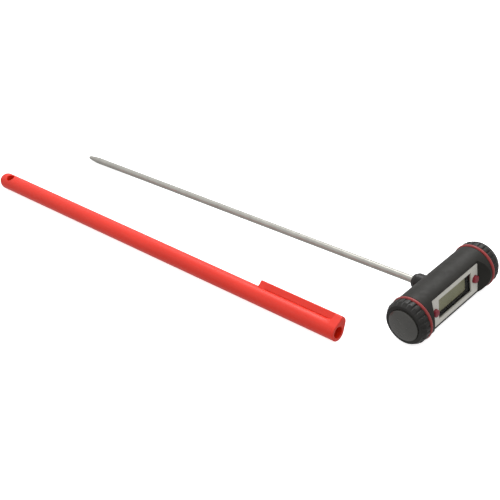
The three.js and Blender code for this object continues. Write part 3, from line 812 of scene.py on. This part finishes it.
def make_collar():
    (front, _, _), (back, _, radius) = local_box("stem_collar", BAR)
    shank, shoulder, chamfer, bore = 3.15, 10.95, 15.6, STEM_RADIUS + 0.05
    profile = rounded([
        (bore, -front, 0.1), (bore, -back, 0.05), (shank, -back, 0.2), (shank, shoulder, 0.1),
        (radius, shoulder, 0.2), (radius, chamfer, 0.35), (radius - 1, -front, 0.35),
    ], 4)
    collar = turned("stem_collar", profile, "stem", angles=even_angles(72), closed=True)
    return install(collar, BAR, LOOKS["cap_black"], "handle", "cap_black", "stem_collar")


# ---- Sheath -------------------------------------------------------------------------------------

CLIP = local_box("pocket_clip", SHEATH)
CLIP_HALF_WIDTH = 1.8
CLIP_TOP = CLIP[1][2]
CLIP_UNDERSIDE = 4.95
CLIP_WAIST = 6.6
CLIP_ROOT = 4.6
CLIP_LENGTH = -CLIP[0][0]
FOOT_HALF_WIDTH = CLIP[1][1]
FOOT_UNDERSIDE = 4.87
FOOT_LENGTH = 4.8
SHEATH_LENGTH = -local_box("sheath_tube", SHEATH)[0][0]
SHEATH_BORE_RADIUS = 2.75
SHEATH_BORE_DEPTH = 255
SHEATH_DOME = 5.1

# The cross hole's roll is from the top of the sheath, which the clip is rolled away from.
CLIP_ROLL = 45
HOLE_ROLL = CLIP_ROLL + 12
HOLE_ALONG = 254.9
HOLE_RADIUS = 2.4


def shoulder_height(along):
    """How far the clip's shoulder reaches above the axis, from the open end to behind its root."""
    front, fillet, reach = 1.8, 1.7, 0.5
    if along < front:
        return CLIP_TOP - fillet + math.sqrt(max(0, fillet ** 2 - (front - along) ** 2))
    if along <= CLIP_ROOT:
        return CLIP_TOP
    share = min(1, (along - CLIP_ROOT) / reach)
    return SHEATH_RADIUS + (CLIP_UNDERSIDE - SHEATH_RADIUS) * (1 - share) ** 2


def sheath_section(radius, along, angle):
    """The round tube, with the shoulder's keystone growing out of its top near the open end."""
    if radius < SHEATH_BORE_RADIUS + 0.5 or along > CLIP_ROOT + 2:
        return radius
    height = shoulder_height(along)
    turn = abs((angle + math.pi) % (2 * math.pi) - math.pi)
    reach = math.hypot(CLIP_HALF_WIDTH, CLIP_TOP)
    tangent = math.atan2(CLIP_HALF_WIDTH, CLIP_TOP) + math.acos(SHEATH_RADIUS / reach)
    if turn >= tangent:
        return radius
    flank = SHEATH_RADIUS / math.cos(tangent - turn)
    top = height / math.cos(turn)
    blend = 0.25
    lower = -blend * math.log(math.exp(-flank / blend) + math.exp(-top / blend))
    inset = SHEATH_RADIUS - radius
    return max(radius, lower - inset)


def sheath_angles():
    """Angles round the sheath, closer together over the shoulder."""
    close = [math.radians(angle) for angle in range(-78, 80, 2)]
    rest = [math.radians(angle) for angle in range(84, 282, 6)]
    return close + rest


def make_sheath():
    lip = SHEATH_BORE_RADIUS + 0.4
    shoulder = [0.25, 0.4, 0.6, 0.85, 1.15, 1.5, 1.8, 2.4, 3.3, CLIP_ROOT, CLIP_ROOT + 0.01]
    run_out = [CLIP_ROOT + 0.1 * step for step in range(1, 6)]
    barrel = [8, 14, 30, 60, 90, 120, 150, 180, 210, 240, 250, 253, 257]
    profile = [(0, SHEATH_BORE_DEPTH + 0.8), (SHEATH_BORE_RADIUS - 0.3, SHEATH_BORE_DEPTH + 0.2)]
    profile += [(SHEATH_BORE_RADIUS, SHEATH_BORE_DEPTH - 0.6), (SHEATH_BORE_RADIUS, 30)]
    mouth = [
        (SHEATH_BORE_RADIUS, 1), (lip, 0, 0.25), (SHEATH_RADIUS - 0.3, 0), (SHEATH_RADIUS, 0.25),
    ]
    profile += rounded(mouth)[1:-2]
    profile += [(SHEATH_RADIUS - 0.3, 0), (SHEATH_RADIUS - 0.1, 0.07)]
    profile += [(SHEATH_RADIUS, along) for along in shoulder + run_out + barrel]
    profile += dome(SHEATH_RADIUS, SHEATH_LENGTH - SHEATH_DOME, SHEATH_DOME, 14)
    sheath = turned("sheath_tube", profile, "stem", angles=sheath_angles(), reshape=sheath_section)
    hole = rod("cross_hole", "bar", HOLE_RADIUS, -10, 10, 56)
    roll = Matrix.Rotation(math.radians(90 + HOLE_ROLL), 4, "X")
    hole.data.transform(Matrix.Translation((-HOLE_ALONG, 0, 0)) @ roll)
    combine(sheath, "DIFFERENCE", hole)
    return install(sheath, SHEATH, LOOKS["red_plastic"], "sheath", "red_plastic", "sheath_tube")


def clip_section(along):
    """The arm's section at a distance from the open end, with a hollow underside and flared foot."""
    corner, crown, nose, toe, foot_ramp = 0.4, 0.1, 0.5, 0.45, 1.5
    to_end = CLIP_LENGTH - along
    share = min(1, max(0, (FOOT_LENGTH - to_end) / foot_ramp))
    foot = share * share * (3 - 2 * share)
    lift = toe - math.sqrt(max(0, toe ** 2 - max(0, toe - to_end) ** 2))
    drop = nose - math.sqrt(max(0, nose ** 2 - max(0, nose - to_end) ** 2))
    tuck = 0.35 * drop / nose
    half_top = CLIP_HALF_WIDTH - tuck
    half_bottom = CLIP_HALF_WIDTH + (FOOT_HALF_WIDTH - CLIP_HALF_WIDTH) * foot - tuck
    top = CLIP_TOP - drop
    hollow = CLIP_UNDERSIDE + (FOOT_UNDERSIDE - CLIP_UNDERSIDE) * foot

    def underside(y):
        return math.sqrt(hollow ** 2 - y ** 2) + lift

    flare = underside(half_bottom) + 0.15
    waist = max(flare + 0.05, CLIP_WAIST - drop)
    points = []
    for step in range(9):
        y = half_bottom * (step / 4 - 1)
        points.append((-along, y, underside(y)))
    upper = [(half_bottom, flare), (half_top, waist)]
    for step in range(5):
        angle = math.pi / 2 * step / 4
        y = half_top - corner + corner * math.cos(angle)
        upper.append((y, top - corner - crown + corner * math.sin(angle)))
    upper.append((half_top / 2, top - crown * 0.4))
    points += [(-along, y, z) for y, z in upper]
    points.append((-along, 0, top))
    points += [(-along, -y, z) for y, z in reversed(upper)]
    return points


def make_clip():
    root = CLIP_ROOT - 0.6
    fine = 0.9
    bend = [root + fine * step for step in range(16)]
    arm = [root + fine * 16 + 3 * step for step in range(9)]
    foot = [CLIP_LENGTH - 5 + 0.25 * step for step in range(16)]
    nose = [CLIP_LENGTH - to_end for to_end in (1, 0.8, 0.6, 0.4, 0.25, 0.12, 0.04, 0)]
    clip = lofted("pocket_clip", [clip_section(along) for along in bend + arm + foot + nose])
    install(clip, SHEATH, LOOKS["red_plastic"], None, "red_plastic", "pocket_clip")
    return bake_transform(clip)


# ---- Insides that keep their CAD shape ----------------------------------------------------------

KEPT = {
    "window_lens": "window_clear",
    "lcd_frame": "dark_plastic",
    "zebra_strip_upper": "grey_rubber",
    "zebra_strip_lower": "grey_rubber",
    "circuit_board": "circuit_board",
    "controller_blob": "epoxy",
    "tact_switch_left": "dark_plastic",
    "tact_switch_right": "dark_plastic",
    "board_screw_left": "spring_steel",
    "board_screw_right": "spring_steel",
    "coin_cell": "stainless",
    "battery_spring": "spring_steel",
    "battery_strip": "brass",
    "collar_nut": "brass",
    "collar_seal": "grey_rubber",
    "thermistor_bead": "thermistor_glass",
    "thermistor_lead_upper": "lead_insulation",
    "thermistor_lead_lower": "lead_insulation",
    "tip_potting": "epoxy",
}


# ---- Studio -------------------------------------------------------------------------------------

def make_floor():
    mesh = bmesh.new()
    bmesh.ops.create_grid(mesh, x_segments=1, y_segments=1, size=4)
    floor = finish_mesh("studio_floor", mesh)
    floor.location.z = -0.0002
    material = plain("studio_floor", (0.86, 0.86, 0.86), 0.6, Emission_Strength=0.75)
    shader = material.node_tree.nodes["Principled BSDF"]
    shader.inputs["Emission Color"].default_value = (1, 1, 1, 1)
    colour_by(material, grain(material, 300, 1), (0.85, 0.85, 0.85), (0.87, 0.87, 0.87))
    floor.data.materials.append(material)
    floor.visible_diffuse = False
    floor.visible_glossy = False


def make_world():
    """White studio surround, a little darker towards the horizon."""
    world = bpy.data.worlds.new("studio")
    world.use_nodes = True
    bpy.context.scene.world = world
    tree = world.node_tree
    place = tree.nodes.new("ShaderNodeTexCoord")
    split = tree.nodes.new("ShaderNodeSeparateXYZ")
    shade = tree.nodes.new("ShaderNodeValToRGB")
    tree.links.new(place.outputs["Generated"], split.inputs["Vector"])
    tree.links.new(split.outputs["Z"], shade.inputs["Fac"])
    stops = ((0, 0.55), (0.02, 0.7), (0.8, 1.0))
    shade.color_ramp.elements.new(stops[1][0])
    for element, (position, value) in zip(shade.color_ramp.elements, stops):
        element.position = position
        element.color = (value, value, value, 1)
    background = tree.nodes["Background"]
    tree.links.new(shade.outputs["Color"], background.inputs["Color"])
    background.inputs["Strength"].default_value = 1.0


def area_light(name, azimuth, elevation, distance, size, power):
    """A square soft box that faces the frame's origin, under the middle of the object."""
    data = bpy.data.lights.new(name, "AREA")
    data.size = size
    data.energy = power
    light = bpy.data.objects.new(name, data)
    bpy.context.scene.collection.objects.link(light)
    a, e = math.radians(azimuth), math.radians(elevation)
    away = Vector((math.sin(a) * math.cos(e), -math.cos(a) * math.cos(e), math.sin(e)))
    light.location = away * distance
    light.rotation_euler = away.to_track_quat("Z", "Y").to_euler()


def make_camera():
    """The camera stands off the middle of the T-bar, panned and rolled as the photograph is."""
    azimuth, elevation, roll = (math.radians(angle) for angle in (45.839, 34.282, -6.136))
    distance, pan, rise = 0.56604, -0.096033, 0.020502
    back = Vector((
        math.sin(azimuth) * math.cos(elevation),
        -math.cos(azimuth) * math.cos(elevation),
        math.sin(elevation),
    ))
    level = Vector((math.cos(azimuth), math.sin(azimuth), 0))
    above = back.cross(level)
    right = level * math.cos(roll) + above * math.sin(roll)
    up = above * math.cos(roll) - level * math.sin(roll)
    data = bpy.data.cameras.new("camera")
    data.lens = 82.22
    data.clip_start, data.clip_end = 0.01, 50
    camera = bpy.data.objects.new("camera", data)
    bpy.context.scene.collection.objects.link(camera)
    matrix = Matrix((right, up, back)).transposed().to_4x4()
    matrix.translation = BAR.translation + back * distance + right * pan + up * rise
    camera.matrix_world = matrix
    bpy.context.scene.camera = camera


# ---- Assembly -----------------------------------------------------------------------------------

make_camera()
make_floor()
make_world()
area_light("overhead", 205, 60, 1.4, 0.9, 11)
make_housing()
make_display_plate()
make_lcd()
make_stem()
make_collar()
make_sheath()
make_clip()
for side_name, direction in SIDES:
    make_button(side_name, direction)
    make_cap(side_name, direction)
    make_cap_disc(side_name, direction)
    make_sealing_ring(side_name, direction)
for kept_node, look in KEPT.items():
    keep(kept_node, LOOKS[look])

bpy.context.scene.view_settings.view_transform = "Standard"
